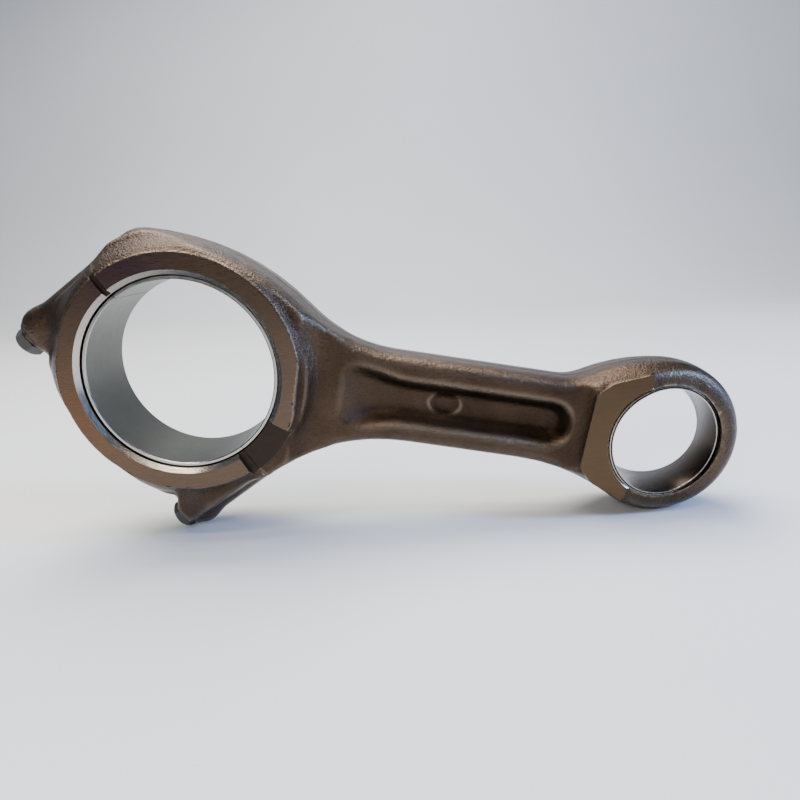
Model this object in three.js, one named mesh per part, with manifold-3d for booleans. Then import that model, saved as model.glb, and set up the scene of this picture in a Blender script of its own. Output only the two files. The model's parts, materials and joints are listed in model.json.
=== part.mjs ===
// Connecting rod with an oblique-split big end, for a heavy-duty diesel engine. Millimetres.
//
// Rod frame: origin at the centre of the crankpin bore, +X along the rod to the piston-pin
// bore, +Y across the rod and +Z along the two bores.
// Joint frame: the rod frame turned about Z until +V runs along the cap bolts, out of the cap
// and into the rod. The parting plane between rod and cap is V = 0, and U lies in it.
// The finished rod stands on its edge: one cap bolt's head and the small end touch the ground.

import * as THREE from 'three';
import { mergeVertices } from 'three/addons/utils/BufferGeometryUtils.js';
import Module from 'manifold-3d';

const wasm = await Module();
wasm.setup();

// ---- Driving dimensions ----

const GAP = 0.3;                  // left between two pieces that touch
const CENTRE_DISTANCE = 255;      // crankpin bore to piston-pin bore
const BIG_WIDTH = 49;             // across the big end's thrust faces
const EYE_WIDTH = 39.5;           // across the small end's side faces
const JOINT_ANGLE = -Math.PI / 4; // of the parting plane to the rod's axis

const HOUSING_R = 50;             // crankpin housing, bored with the cap bolted on
const HOUSING_CHAMFER = 2.3;
const THRUST_FACE = 10;           // radial width of the machined thrust faces
const BIG_END_WALL = 15.7;        // forging round the crankpin housing, where it is thinnest
const BACK_R = 126;               // arc over the rod's half of the big end
const BACK_ANGLE = THREE.MathUtils.degToRad(71); // of its thinnest place
const BIG_EDGE = 5;                // how far its rounded sides come in towards the faces
const THRUST_FALL = 13;           // from a thrust face down to the lugs
const THRUST_BLEND = 13;          // radial length of that fall

const SHELL_WALL = 2.4;           // bearing shells
const SHELL_WIDTH = 42;
const TANG_LENGTH = 5;            // locating tang, along the joint's V axis
const TANG_WIDTH = 6;
const TANG_RISE = 1.6;            // how far it stands out of the shell's back
const TANG_OFFSET = 9;            // of its middle from the middle of the shell

const EYE_BORE_R = 31;            // small end, bored for the bush
const EYE_WALL = 11.2;            // forging round that bore
const EYE_CHAMFER = 0.8;
const EYE_EDGE = 8;               // how far its rounded sides come in towards the faces
const EYE_FACE_MARGIN = 0.3;      // side faces start this far before the eye's round
const EYE_SHOULDER_R = 100;       // fuller outline on the upper side of the small end
const EYE_SHOULDER_ANGLE = THREE.MathUtils.degToRad(95);
const TAPER_START = 18;           // start of the taper, before the pin's axis
const TAPER_SLOPE = 0.18;         // of each tapered face
const BUSH_WALL = 2;

const SHANK_HALF = 23.8;          // half the shank's height
const SHANK_RISE = 1;             // the shank's middle above the line of centres
const FLANGE_HALF = 14.5;         // half the depth across its flanges
const FLANGE_EDGE = 4.5;          // inset of the flange faces from the outline
const FLANGE_EDGE_DEPTH = 9;      // depth over which the outline rounds off to them
const WEB_HALF = 4.2;
const POCKET_START = 18;          // hollow between the flanges, from the thrust face's edge
const POCKET_END = 4.8;           // its other end, before the eye's round
const POCKET_HALF = 12.5;
const POCKET_FILLET = 5;
const MARK_X = 77;                // oval forging mark on the web, from the thrust face's edge
const MARK_R = 5.5;
const MARK_STRETCH = 1.3;
const MARK_RISE = 0.8;

const UPPER_FLARE_R = 78;         // shank into big end
const LOWER_FLARE_R = 100;
const UPPER_EYE_FLARE_R = 25;     // shank into small end
const LOWER_EYE_FLARE_R = 112;
const SHOULDER_R = 15;            // corner between the big end and the upper lug

const THREAD_D = 12;              // cap bolts
const BOLT_WALL = 5.7;            // between the crankpin housing and a bolt's hole
const REACH_RELIEF = 0.5;         // a bolt's shank is slimmer than its thread by this all round
const THREAD_LENGTH = 27;
const THREAD_GRIP = 20;           // thread inside the rod
const HOLE_SPARE = 1.5;           // blind hole past the bolt's end, before the drill's cone
const HEAD_OVER_THREAD = 2;       // flats of a bolt's head, more than its thread
const HEAD_HEIGHT = 6.8;
const HEAD_CHAMFER = 1.4;
const LUG_WALL = 4.5;             // of a lug's round body, about its bolt
const LUG_KNOB = 2;               // swelling under the bolt's head
const LUG_ROOT = 27;              // length of a lug inside the rod
const LUG_WEB = 5;                // side of the forging between the lugs, in from their edges
const LUG_BLEND = 1.5;            // lower flank, in from the edge of its lug
const SEAT_REACH = 12;            // from a bolt's axis to the inner end of its seat
const SEAT_DROP = 0.7;            // bolt seats below the top of the cap
const CROWN_WALL = 8;             // of the cap, at its middle
const CROWN_R = 900;

const SLOT_WIDTH = 3;             // cut across a thrust face at the upper joint
const SLOT_DEPTH = 2;
const PATCH_DEPTH = 2.5;          // low, unmachined patch of the face near the lower joint
const PATCH_START = THREE.MathUtils.degToRad(-49);
const PATCH_END = THREE.MathUtils.degToRad(-20);

const ROUND_SEGMENTS = 80;        // on the large bores and rims
const BOLT_SEGMENTS = 24;
const ARC_STEP = THREE.MathUtils.degToRad(6); // on outlines

// ---- Values that follow from them ----

const BIG_HALF = BIG_WIDTH / 2;
const BIG_END_R = HOUSING_R + BIG_END_WALL;
const THRUST_R = HOUSING_R + THRUST_FACE;
const EYE_HALF = EYE_WIDTH / 2;
const EYE_R = EYE_BORE_R + EYE_WALL;
const EYE_FACE_START = EYE_R + EYE_FACE_MARGIN; // before the pin's axis
const HOLE_R = THREAD_D / 2 + GAP;
const HEAD_ACROSS_FLATS = THREAD_D + HEAD_OVER_THREAD;
const BOLT_OFFSET = HOUSING_R + BOLT_WALL + HOLE_R; // from the middle of the joint
const LUG_R = THREAD_D / 2 + LUG_WALL;
const LUG_EDGE = BOLT_OFFSET + LUG_R;
const CROWN_DEPTH = HOUSING_R + CROWN_WALL; // top of the cap, from the parting plane
const SEAT_DEPTH = CROWN_DEPTH - SEAT_DROP;
const SEAT_INNER = BOLT_OFFSET - SEAT_REACH;
const BEYOND = CENTRE_DISTANCE + BIG_END_R + EYE_R; // larger than the whole rod

// ---- Solids ----

// A closed mesh as a solid; corners that coincide are joined first.
function solid(geometry) {
  geometry.deleteAttribute('normal');
  geometry.deleteAttribute('uv');
  const merged = mergeVertices(geometry, 1e-4);
  const index = merged.index.array;
  const triangles = [];
  for (let i = 0; i < index.length; i += 3) {
    const [a, b, c] = index.slice(i, i + 3);
    if (a !== b && b !== c && c !== a) triangles.push(a, b, c);
  }
  return new wasm.Manifold(new wasm.Mesh({
    numProp: 3,
    vertProperties: merged.attributes.position.array,
    triVerts: new Uint32Array(triangles),
  }));
}

// A solid of revolution about Z; the profile's points are [radius, height], the outside from
// the bottom up.
function turned(profile, x = 0, segments = ROUND_SEGMENTS) {
  const points = profile.map(([radius, height]) => new THREE.Vector2(radius, height));
  const geometry = new THREE.LatheGeometry(points, segments);
  geometry.rotateX(Math.PI / 2);
  geometry.translate(x, 0, 0);
  return solid(geometry);
}

// A ring about Z, the same height on both sides of Z = 0.
function ring(inner, outer, half, x = 0) {
  return turned([[inner, -half], [outer, -half], [outer, half], [inner, half], [inner, -half]], x);
}

// A flat outline given thickness, the same on both sides of Z = 0, with rounded rims.
function plate(shape, thickness, edgeDepth = 0, edgeInset = 0) {
  const geometry = new THREE.ExtrudeGeometry(shape, {
    depth: thickness - 2 * edgeDepth,
    bevelEnabled: edgeDepth > 0,
    bevelThickness: edgeDepth,
    bevelSize: edgeInset,
    bevelOffset: -edgeInset,
    bevelSegments: 3,
  });
  geometry.translate(0, 0, -thickness / 2 + edgeDepth);
  return solid(geometry);
}

// A box between two corners, turned about Z.
function block([x0, y0, z0], [x1, y1, z1], turn = 0) {
  const geometry = new THREE.BoxGeometry(x1 - x0, y1 - y0, z1 - z0);
  geometry.translate((x0 + x1) / 2, (y0 + y1) / 2, (z0 + z1) / 2);
  geometry.rotateZ(turn);
  return solid(geometry);
}

// A round bar along V at a bolt's place; the profile's points are [radius, V].
function alongBolt(profile, u, segments = BOLT_SEGMENTS) {
  const points = profile.map(([radius, v]) => new THREE.Vector2(radius, v));
  const geometry = new THREE.LatheGeometry(points, segments);
  geometry.translate(u, 0, 0);
  geometry.rotateZ(JOINT_ANGLE);
  return solid(geometry);
}

// A point of the joint frame, in the rod frame.
function jointPoint(u, v) {
  return new THREE.Vector2(u, v).rotateAround(new THREE.Vector2(), JOINT_ANGLE);
}

// A point at a distance and an angle from the origin.
function polar(radius, angle) {
  return new THREE.Vector2(radius * Math.cos(angle), radius * Math.sin(angle));
}

// ---- Outlines ----

// Points along an arc, a step every few degrees, both ends included.
function arc(x, y, radius, from, to) {
  const steps = Math.ceil(Math.abs(to - from) / ARC_STEP);
  return Array.from({ length: steps + 1 }, (_, i) => {
    const angle = from + (to - from) * i / steps;
    return new THREE.Vector2(x + radius * Math.cos(angle), y + radius * Math.sin(angle));
  });
}

// An outline from runs of points, without the doubles where two runs meet.
function outlineOf(...runs) {
  const points = runs.flat();
  return new THREE.Shape(points.filter((point, i) => {
    return point.distanceTo(points[(i + 1) % points.length]) > 0.01;
  }));
}

// The forging seen along the bores, rod and cap in one, anticlockwise from the lower seat.
function forgingOutline() {
  return outlineOf(
    [jointPoint(SEAT_INNER, -SEAT_DEPTH), jointPoint(LUG_EDGE - LUG_WEB, -SEAT_DEPTH)],
    [jointPoint(LUG_EDGE - LUG_WEB, -2 * LUG_WEB)],
    lowerFlank(),
    smallEndArcs(),
    upperFlank(),
    [jointPoint(-LUG_EDGE, 2 * LUG_WEB), jointPoint(LUG_WEB - LUG_EDGE, -2 * LUG_WEB)],
    [jointPoint(LUG_WEB - LUG_EDGE, -SEAT_DEPTH), jointPoint(-SEAT_INNER, -SEAT_DEPTH)],
    crownArc(),
  );
}

// From the lower lug along the flare to the shank's lower side.
function lowerFlank() {
  const y = SHANK_RISE - SHANK_HALF - LOWER_FLARE_R;
  const touch = LUG_EDGE - LUG_BLEND;
  const x = (touch + LOWER_FLARE_R - y * Math.sin(JOINT_ANGLE)) / Math.cos(JOINT_ANGLE);
  return arc(x, y, LOWER_FLARE_R, Math.PI + JOINT_ANGLE, Math.PI / 2);
}

// From the shank's upper side along the flare, over the big end to the upper lug's corner.
function upperFlank() {
  const back = polar(BIG_END_R - BACK_R, BACK_ANGLE);
  const flare = flareCentre(back, BACK_R, UPPER_FLARE_R, SHANK_HALF + SHANK_RISE, 1);
  const touch = flare.clone().sub(back).angle();
  const inward = BACK_R - SHOULDER_R;
  const across = SHOULDER_R - LUG_EDGE - back.dot(jointPoint(1, 0));
  const shoulder = Math.acos(across / inward) + JOINT_ANGLE;
  const corner = polar(inward, shoulder).add(back);
  return [
    ...arc(flare.x, flare.y, UPPER_FLARE_R, -Math.PI / 2, touch - Math.PI),
    ...arc(back.x, back.y, BACK_R, touch, shoulder),
    ...arc(corner.x, corner.y, SHOULDER_R, shoulder, Math.PI + JOINT_ANGLE),
  ];
}

// Flare, eye, shoulder and flare, from the shank's lower side to its upper side.
function smallEndArcs() {
  const eye = new THREE.Vector2(CENTRE_DISTANCE, 0);
  const low = flareCentre(eye, EYE_R, LOWER_EYE_FLARE_R, SHANK_HALF - SHANK_RISE, -1);
  const lowTouch = low.clone().sub(eye).angle();
  const shoulder = polar(EYE_R - EYE_SHOULDER_R, EYE_SHOULDER_ANGLE).add(eye);
  const high = flareCentre(
    shoulder, EYE_SHOULDER_R, UPPER_EYE_FLARE_R, SHANK_HALF + SHANK_RISE, -1,
  );
  const highTouch = high.clone().sub(shoulder).angle();
  return [
    ...arc(low.x, -low.y, LOWER_EYE_FLARE_R, Math.PI / 2, Math.PI - lowTouch),
    ...arc(eye.x, eye.y, EYE_R, -lowTouch, EYE_SHOULDER_ANGLE),
    ...arc(shoulder.x, shoulder.y, EYE_SHOULDER_R, EYE_SHOULDER_ANGLE, highTouch),
    ...arc(high.x, high.y, UPPER_EYE_FLARE_R, highTouch - Math.PI, -Math.PI / 2),
  ];
}

// Centre of the arc that leads from a circle into a line of constant Y below the arc.
function flareCentre(circle, radius, flareRadius, lineY, side) {
  const y = lineY + flareRadius;
  const run = Math.sqrt((radius + flareRadius) ** 2 - (y - circle.y) ** 2);
  return new THREE.Vector2(circle.x + side * run, y);
}

// The cap's top, from one bolt seat to the other.
function crownArc() {
  const centre = jointPoint(0, CROWN_R - CROWN_DEPTH);
  const middle = JOINT_ANGLE - Math.PI / 2;
  const half = Math.asin(SEAT_INNER / CROWN_R);
  return arc(centre.x, centre.y, CROWN_R, middle - half, middle + half);
}

// The neck from the side, X along the rod and Y for Z: from the bore down to the shank.
function neckOutline() {
  const bigHalf = BIG_HALF - THRUST_FALL / 4;
  const shankHalf = FLANGE_HALF - 1; // hidden inside the flanges
  const end = new THREE.Vector2(THRUST_R + 1.5 * THRUST_BLEND, shankHalf);
  const bend = new THREE.Vector2(THRUST_R + THRUST_BLEND / 3, shankHalf);
  const start = new THREE.Vector2(THRUST_R - 2, bigHalf);
  const fall = new THREE.QuadraticBezierCurve(start, bend, end);
  return bothSides([new THREE.Vector2(0, bigHalf), ...fall.getPoints(8)]);
}

// The small end from the side: up from the shank, flat faces, then the taper past the pin.
function eyeOutline() {
  const shankHalf = FLANGE_HALF - 1;
  const faceStart = CENTRE_DISTANCE - EYE_FACE_START;
  const taperStart = CENTRE_DISTANCE - TAPER_START;
  const farEnd = CENTRE_DISTANCE + EYE_R + 2;
  const farHalf = EYE_HALF - (farEnd - taperStart) * TAPER_SLOPE;
  const run = 2 * (EYE_HALF - shankHalf);
  const start = new THREE.Vector2(faceStart - run, shankHalf);
  const bend = new THREE.Vector2(faceStart - run / 3, shankHalf);
  const rise = new THREE.QuadraticBezierCurve(start, bend, new THREE.Vector2(faceStart, EYE_HALF));
  const taper = [new THREE.Vector2(taperStart, EYE_HALF), new THREE.Vector2(farEnd, farHalf)];
  return bothSides([...rise.getPoints(8), ...taper]);
}

// A closed outline from its upper half, given from low X to high X.
function bothSides(upper) {
  const lower = upper.map((point) => new THREE.Vector2(point.x, -point.y));
  return outlineOf(lower, upper.reverse());
}

// A side outline as a solid, wider than the rod is high.
function sideSolid(outline) {
  return plate(outline, 2 * BEYOND).rotate([90, 0, 0]);
}

// The hollow between the flanges, seen along the bores.
function pocketOutline() {
  const first = THRUST_R + POCKET_START + POCKET_HALF;
  const last = CENTRE_DISTANCE - EYE_R - POCKET_END - POCKET_HALF;
  return outlineOf(
    arc(last, SHANK_RISE, POCKET_HALF, -Math.PI / 2, Math.PI / 2),
    arc(first, SHANK_RISE, POCKET_HALF, Math.PI / 2, 1.5 * Math.PI),
  );
}

// ---- The forging ----

// The crankpin end's round body: flat thrust faces that fall in a smooth step to the lugs.
function thrustBody() {
  const steps = 4;
  const upper = [];
  for (let i = steps; i >= 0; i -= 1) {
    const t = i / steps;
    upper.push([THRUST_R + THRUST_BLEND * t, BIG_HALF - THRUST_FALL * t * t * (3 - 2 * t)]);
  }
  upper.push([0, BIG_HALF]);
  const lower = upper.map(([radius, height]) => [radius, -height]).reverse();
  return turned([...lower, ...upper]);
}

// Both lugs, round about their bolts, swollen under the heads and domed inside the rod.
function lugs() {
  const seatR = LUG_R - 1.5;
  const knobR = LUG_R + LUG_KNOB;
  const profile = [
    [0, -SEAT_DEPTH], [seatR, -SEAT_DEPTH], [knobR - 0.6, -SEAT_DEPTH + 3],
    [knobR, -SEAT_DEPTH + 7], [knobR - 0.6, -SEAT_DEPTH + 11], [LUG_R, -SEAT_DEPTH + 17],
    [LUG_R, LUG_ROOT - 8], [LUG_R - 2, LUG_ROOT - 3], [LUG_R - 6, LUG_ROOT], [0, LUG_ROOT],
  ];
  return alongBolt(profile, -BOLT_OFFSET).add(alongBolt(profile, BOLT_OFFSET));
}

// Hollows in both sides of the shank, with the oval mark left standing on each web face.
function pockets() {
  const depth = BIG_WIDTH;
  const pocket = plate(pocketOutline(), depth, POCKET_FILLET, POCKET_FILLET);
  const front = pocket.translate([0, 0, depth / 2 + WEB_HALF]);
  const back = pocket.translate([0, 0, -depth / 2 - WEB_HALF]);
  const rim = [
    [0, WEB_HALF - 1], [MARK_R + 2, WEB_HALF - 1], [MARK_R + 2, WEB_HALF],
    [MARK_R, WEB_HALF + MARK_RISE], [MARK_R - 2, WEB_HALF + 0.1], [0, WEB_HALF + 0.1],
  ];
  const oval = turned(rim, 0, BOLT_SEGMENTS).scale([MARK_STRETCH, 1, 1]);
  const mark = oval.translate([THRUST_R + MARK_X, 0, 0]);
  return front.subtract(mark).add(back.subtract(mark.mirror([0, 0, 1])));
}

// Rod and cap as they leave the forging dies and the side milling, still in one piece.
function forging() {
  const outline = forgingOutline();
  const afterBore = block([HOUSING_R, -BEYOND, -BIG_HALF], [BEYOND, BEYOND, BIG_HALF]);
  const lugZone = plate(outline, 2 * LUG_R, LUG_R - 2, FLANGE_EDGE);
  const flanges = plate(outline, 2 * FLANGE_HALF, FLANGE_EDGE_DEPTH, FLANGE_EDGE);
  const rounded = plate(outline, BIG_WIDTH, BIG_HALF - 1, BIG_EDGE);
  const capSide = plate(outline, BIG_WIDTH).intersect(sideOfJoint(-1));
  const smallEnd = plate(outline, EYE_WIDTH, EYE_HALF - 1, EYE_EDGE);
  return lugZone
    .add(flanges.intersect(afterBore))
    .add(rounded.add(capSide).intersect(thrustBody()))
    .add(rounded.intersect(sideSolid(neckOutline())))
    .add(smallEnd.intersect(sideSolid(eyeOutline())))
    .add(lugs())
    .subtract(pockets());
}

// ---- Machining ----

// A bore with a chamfer at both mouths, as the tool that cuts it.
function boreTool(radius, chamfer, halfLength, x = 0) {
  const outer = halfLength + chamfer;
  return turned([
    [0, -outer], [radius + 2 * chamfer, -outer], [radius, chamfer - halfLength],
    [radius, halfLength - chamfer], [radius + 2 * chamfer, outer], [0, outer],
  ], x);
}

// Clearance for the shells' tangs, at the upper joint: one tang on each side of the plane.
function tangs(clearance) {
  const reach = HOUSING_R + TANG_RISE + clearance;
  const halfWidth = TANG_WIDTH / 2 + clearance;
  const depth = TANG_LENGTH + clearance;
  const inner = -HOUSING_R + 1;
  const rodTang = block([-reach, 0, TANG_OFFSET - halfWidth], [inner, depth, TANG_OFFSET + halfWidth],
    JOINT_ANGLE);
  const capTang = block([-reach, -depth, -TANG_OFFSET - halfWidth], [inner, 0, -TANG_OFFSET + halfWidth],
    JOINT_ANGLE);
  return rodTang.add(capTang);
}

// The slot across the front thrust face, at the upper joint.
function jointSlot() {
  const low = [-BIG_END_R, -2 * SLOT_WIDTH / 3, BIG_HALF - SLOT_DEPTH];
  const high = [-HOUSING_R, SLOT_WIDTH / 3, BIG_HALF + 1];
  return block(low, high, JOINT_ANGLE);
}

// The low, unmachined patch of the front thrust face, near the lower joint.
function facePatch() {
  const shape = outlineOf(
    arc(0, 0, BIG_END_R, PATCH_START, PATCH_END),
    arc(0, 0, HOUSING_R, PATCH_END, PATCH_START),
  );
  return plate(shape, 2 * PATCH_DEPTH).translate([0, 0, BIG_HALF]);
}

// Clearance holes through the cap, ending as blind threaded holes in the rod.
function boltHoles() {
  const profile = [
    [0, -SEAT_DEPTH - HEAD_HEIGHT], [HOLE_R, -SEAT_DEPTH - HEAD_HEIGHT],
    [HOLE_R, THREAD_GRIP + HOLE_SPARE], [0, THREAD_GRIP + HOLE_SPARE + HOLE_R / 2],
  ];
  return alongBolt(profile, -BOLT_OFFSET).add(alongBolt(profile, BOLT_OFFSET));
}

// Everything on one side of the parting plane: +1 for the rod's side, -1 for the cap's.
function sideOfJoint(side) {
  const near = GAP / 2;
  const low = [-BEYOND, side > 0 ? near : -BEYOND, -BIG_WIDTH];
  const high = [BEYOND, side > 0 ? BEYOND : -near, BIG_WIDTH];
  return block(low, high, JOINT_ANGLE);
}

const machined = forging()
  .subtract(boreTool(HOUSING_R, HOUSING_CHAMFER, BIG_HALF))
  .subtract(boreTool(EYE_BORE_R, EYE_CHAMFER, EYE_HALF, CENTRE_DISTANCE))
  .subtract(tangs(GAP))
  .subtract(jointSlot())
  .subtract(facePatch())
  .subtract(boltHoles());

// ---- Pieces ----

function rodBody() {
  return machined.intersect(sideOfJoint(1));
}

function bearingCap() {
  return machined.intersect(sideOfJoint(-1));
}

// One half shell, with its tang, on its own side of the parting plane.
function bearingShell(side) {
  const shells = ring(HOUSING_R - SHELL_WALL, HOUSING_R - GAP, SHELL_WIDTH / 2);
  return shells.add(tangs(0)).intersect(sideOfJoint(side));
}

// The small-end bush, its ends cut to the same taper as the rod.
function smallEndBush() {
  const tube = ring(EYE_BORE_R - BUSH_WALL, EYE_BORE_R - GAP, EYE_HALF, CENTRE_DISTANCE);
  return tube.intersect(sideSolid(eyeOutline()));
}

// A cap bolt at rest, its hexagon head on the cap's seat.
function capBolt(u) {
  const seat = -SEAT_DEPTH - GAP;
  const headEnd = seat - HEAD_HEIGHT;
  const headR = HEAD_ACROSS_FLATS / Math.sqrt(3);
  const threadStart = THREAD_GRIP - THREAD_LENGTH;
  const reachR = THREAD_D / 2 - REACH_RELIEF;
  const shank = alongBolt([
    [0, headEnd + 1], [reachR, headEnd + 1], [reachR, threadStart - 1],
    [THREAD_D / 2, threadStart], [THREAD_D / 2, THREAD_GRIP - 1], [THREAD_D / 2 - 1, THREAD_GRIP],
    [0, THREAD_GRIP],
  ], u);
  const hexagon = new THREE.CylinderGeometry(headR, headR, HEAD_HEIGHT, 6);
  hexagon.rotateY(Math.PI / 6);
  hexagon.translate(u, headEnd + HEAD_HEIGHT / 2, 0);
  hexagon.rotateZ(JOINT_ANGLE);
  const rounding = alongBolt([
    [0, headEnd], [headR - HEAD_CHAMFER, headEnd], [headR + 0.1, headEnd + HEAD_CHAMFER],
    [headR + 0.1, seat], [0, seat],
  ], u);
  return solid(hexagon).intersect(rounding).add(shank);
}

// ---- Scene ----

const FORGED = new THREE.MeshStandardMaterial({ color: 0x5f5044, roughness: 0.42, metalness: 0.9 });
const CAP = new THREE.MeshStandardMaterial({ color: 0x665446, roughness: 0.42, metalness: 0.9 });
const SHELL = new THREE.MeshStandardMaterial({ color: 0x9a9f97, roughness: 0.35, metalness: 0.8 });
const BUSH = new THREE.MeshStandardMaterial({ color: 0x7d7468, roughness: 0.3, metalness: 0.9 });
const BOLT = new THREE.MeshStandardMaterial({ color: 0x17181a, roughness: 0.5, metalness: 0.7 });

// The tilt at which the lower bolt's head and the small end touch the same level ground.
function restingTilt() {
  const headCorner = BOLT_OFFSET + HEAD_ACROSS_FLATS / Math.sqrt(3);
  const contact = jointPoint(headCorner, HEAD_CHAMFER - HEAD_HEIGHT - SEAT_DEPTH - GAP);
  const run = CENTRE_DISTANCE - contact.x;
  return Math.asin(-EYE_R / Math.hypot(run, contact.y)) - Math.atan2(contact.y, run);
}

const pieces = [
  ['rod_body', rodBody(), FORGED],
  ['bearing_cap', bearingCap(), CAP],
  ['rod_bearing_shell', bearingShell(1), SHELL],
  ['cap_bearing_shell', bearingShell(-1), SHELL],
  ['small_end_bush', smallEndBush(), BUSH],
  ['upper_cap_bolt', capBolt(-BOLT_OFFSET), BOLT],
  ['lower_cap_bolt', capBolt(BOLT_OFFSET), BOLT],
];

const rod = new THREE.Group();
rod.rotation.x = Math.PI / 2;
for (const [name, shape, material] of pieces) {
  const { vertProperties, triVerts } = shape.getMesh();
  const geometry = new THREE.BufferGeometry();
  geometry.setAttribute('position', new THREE.BufferAttribute(new Float32Array(vertProperties), 3));
  geometry.setIndex(new THREE.BufferAttribute(new Uint32Array(triVerts), 1));
  const flat = geometry.toNonIndexed();
  flat.computeVertexNormals();
  const mesh = new THREE.Mesh(flat, material);
  mesh.name = name;
  rod.add(mesh);
}

const tilted = new THREE.Group();
tilted.rotation.y = restingTilt();
tilted.add(rod);

// The whole rod is moved so that the middle of its box's underside is the origin.
const assembly = new THREE.Group();
assembly.add(tilted);
assembly.updateMatrixWorld(true);
const box = new THREE.Box3().setFromObject(assembly, true);
const middle = box.getCenter(new THREE.Vector3());
assembly.position.set(-middle.x, -middle.y, -box.min.z);

export default assembly;
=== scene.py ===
"""A heavy-duty connecting rod: forged rod and cap, shell bearings, bush and cap bolts.

Shapes are made in the rod's own frame, in millimetres: X from the crankpin's axis to the piston
pin's, Y up across the shank, Z out of the front face. The joint frame is that frame turned about
Z: its V axis is square to the parting plane, into the rod, and its U axis lies in the plane.
"""
import json
import math

import bmesh
import bpy
from mathutils import Matrix, Vector


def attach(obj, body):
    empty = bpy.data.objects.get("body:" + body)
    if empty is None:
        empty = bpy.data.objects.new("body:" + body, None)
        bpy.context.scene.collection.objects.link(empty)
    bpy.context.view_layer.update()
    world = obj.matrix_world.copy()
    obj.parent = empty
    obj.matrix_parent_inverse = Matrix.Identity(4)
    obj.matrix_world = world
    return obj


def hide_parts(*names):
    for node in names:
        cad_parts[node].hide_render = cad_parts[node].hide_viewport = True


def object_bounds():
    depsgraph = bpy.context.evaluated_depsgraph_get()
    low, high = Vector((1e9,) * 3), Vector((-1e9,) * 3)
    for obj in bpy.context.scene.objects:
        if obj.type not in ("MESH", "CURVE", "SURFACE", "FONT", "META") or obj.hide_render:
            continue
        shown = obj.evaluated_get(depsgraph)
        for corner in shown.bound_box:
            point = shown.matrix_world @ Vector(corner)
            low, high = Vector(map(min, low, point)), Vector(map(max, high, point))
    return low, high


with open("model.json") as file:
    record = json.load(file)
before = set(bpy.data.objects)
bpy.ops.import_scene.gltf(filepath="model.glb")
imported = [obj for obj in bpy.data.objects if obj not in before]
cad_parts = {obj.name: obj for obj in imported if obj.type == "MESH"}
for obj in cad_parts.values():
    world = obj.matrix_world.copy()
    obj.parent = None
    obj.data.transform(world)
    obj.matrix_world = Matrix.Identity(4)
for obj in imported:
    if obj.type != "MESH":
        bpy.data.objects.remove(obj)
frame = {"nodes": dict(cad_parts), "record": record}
CAD_BOX = [list(corner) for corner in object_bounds()]


# ---- Sizes, in millimetres ----

MM = 0.001
GAP = 0.3                      # between two pieces that touch
BIG_HALF = 24.5                # half the width across the big end's thrust faces
HOUSING_R = 50
HOUSING_CHAMFER = 2.3
THRUST_R = 60
JOINT_ANGLE = math.radians(-45)
SHELL_WALL = 2.4
SHELL_HALF = 21
SHELL_CHAMFER = 0.5
TANG_LENGTH = 5
TANG_HALF = 3
TANG_RISE = 1.6
TANG_OFFSET = 9
EYE_HALF = 19.75               # half the width across the small end's side faces
EYE_BORE_R = 31
EYE_CHAMFER = 0.8
EYE_R = 42.2
TAPER_START = 18               # before the pin's axis
TAPER_SLOPE = 0.18
BUSH_WALL = 2
BOLT_OFFSET = 62
THREAD_R = 6
THREAD_PITCH = 1.5
THREAD_DEPTH = 0.85
THREAD_LENGTH = 27
THREAD_GRIP = 20
REACH_R = 5.5
HOLE_SPARE = 1.5               # of a blind hole past its bolt
HEAD_ACROSS_FLATS = 14
HEAD_HEIGHT = 6.8
SEAT_DEPTH = 57.3
SEAT_R = 9
LUG_WIDTH = 27                 # of the milled seat, across the bolt
SLOT_WIDTH = 3
SLOT_DEPTH = 2
SLOT_REACH = 17                # past the housing's bore
PATCH_DEPTH = 2.5
PATCH_ARC = (math.radians(-49), math.radians(-20))
PATCH_REACH = 9                # past the thrust face

# Forging
VOXEL = 1.05                   # grain of the forged surface's mesh
SMOOTHING = 26
FACE_ALLOWANCE = 1.2           # forging left on the thrust faces for the mill
EYE_ALLOWANCE = 3              # and on the small end's faces
BORE_FILLING = 2               # how far a filled bore's plug reaches into its wall
FLAT_OUTLINE = ((-0.5, 19), (6.5, 27.5), (20.5, 33))   # past the small end's edge, and half width
FLAT_END = (1.5, 35.5)         # past the start of the taper, and half width
FLAT_ROOT = 10                 # height in the forging from which the flat is built up
FLANGE_HALF = 14.5
HOLLOW_START = 76              # of the filling under the pressed hollow
HOLLOW_END = 206
HOLLOW_HALF = 13
HOLLOW_SPREAD = 9              # how much wider it gets by the big end
HOLLOW_FLOOR = 4.4
HOLLOW_FLAT = 0.5              # share of its half width that is level
HOLLOW_RISE = 17               # of its floor, where it runs out by the big end
SPREAD_RUN = (78, 116)         # stations between which it spreads
RISE_RUN = (64, 104)           # stations between which its floor rises
LUG_SLIM = 0.28                # share by which the lugs narrow towards their seats
LUG_RUN = (34, 52)             # depths under the joint between which they narrow
LUG_INNER = (42, 52)           # and distances from the middle of the cap
EYE_CROWN = 2                  # how far the small end's forged rim falls away
EYE_CROWN_WIDTH = 13
EYE_CROWN_RUN = 16             # along the taper, over which the fall begins
EYE_STEP = 0.6                 # from its milled faces down to the forging
MARK_PLACE = (137, 0.6)        # oval forging mark on the web
MARK_SIZE = (8.6, 6.4)
MARK_RISE = 0.7
MARK_DISH = 1.3                # depth of its middle, in rises
MARK_RIM = 0.24                # half width of its rim, in sizes
FLASH_RISE = 0.35              # trimmed flash line round the forging
FLASH_HALF = 0.8

# Reach of the mills past what they cut
MILL_HALF = 90
MILL_TOP = 40
SIDE_MILL_START = 190
SIDE_MILL_OVERRUN = 5          # past the start of the taper
TAPER_MILL_OVERRUN = 8         # past the small end
SEAT_MILL_HALF = 22

# ---- The rod's place in the frame ----

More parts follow.
